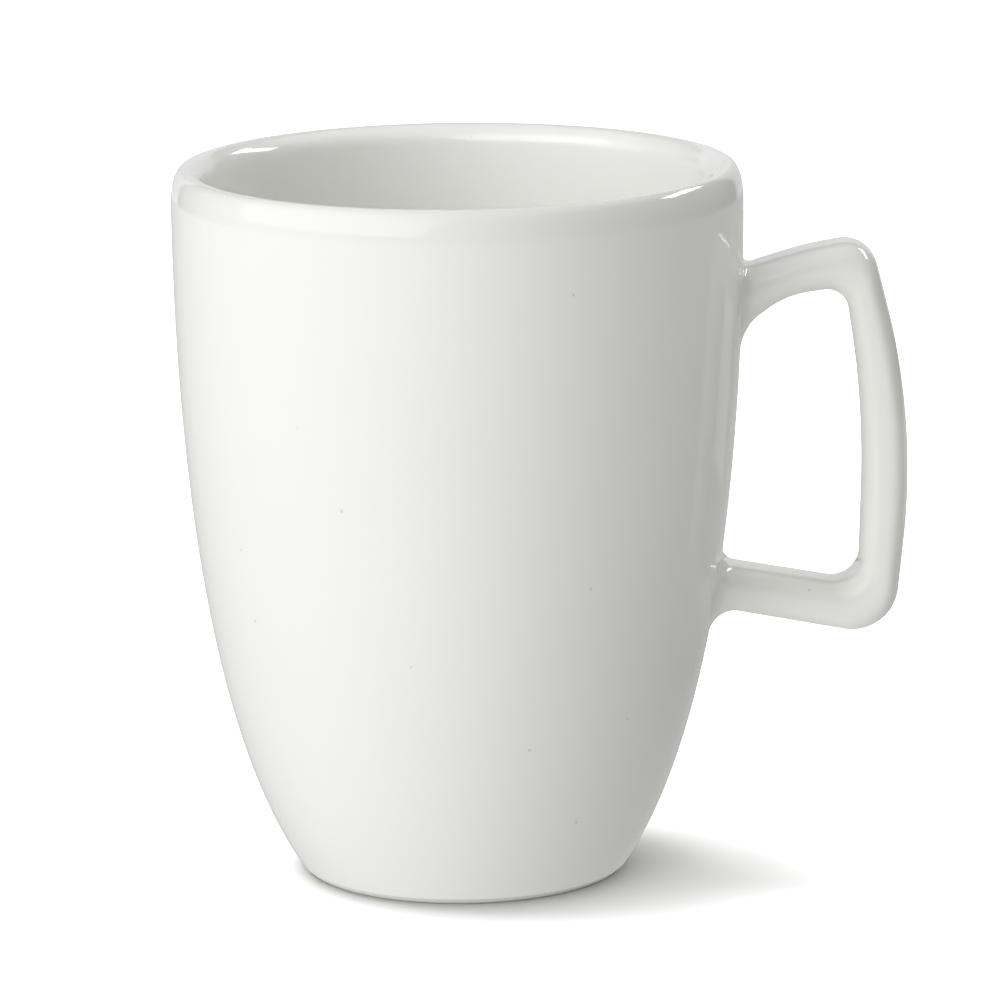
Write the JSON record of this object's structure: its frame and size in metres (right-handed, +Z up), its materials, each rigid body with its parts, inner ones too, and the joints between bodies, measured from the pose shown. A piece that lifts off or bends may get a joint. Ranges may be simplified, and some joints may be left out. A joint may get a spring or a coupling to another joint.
{
  "type": "ceramic mug",
  "caption": "Glazed porcelain mug: a tapering cup with a rounded lip and a bare foot ring, and a bowed, square-cornered handle luted on at +X.",
  "frame": {"origin": "centre of the foot ring's contact face, on the cup's axis", "axes": "+Z up along the cup's axis, +X towards the handle, +Y to the left of someone who looks along the handle from the cup"},
  "size_m": [0.1056, 0.082, 0.1032],
  "materials": {
    "clay": "matte",
    "slip": "matte",
    "glaze": "gloss"
  },
  "bodies": {
    "root": {"cup_body": "clay", "handle": "clay", "upper_slip_joint": "slip", "lower_slip_joint": "slip", "inner_glaze": "glaze", "outer_glaze": "glaze", "handle_glaze": "glaze", "base_glaze": "glaze"}
  },
  "joints": []
}
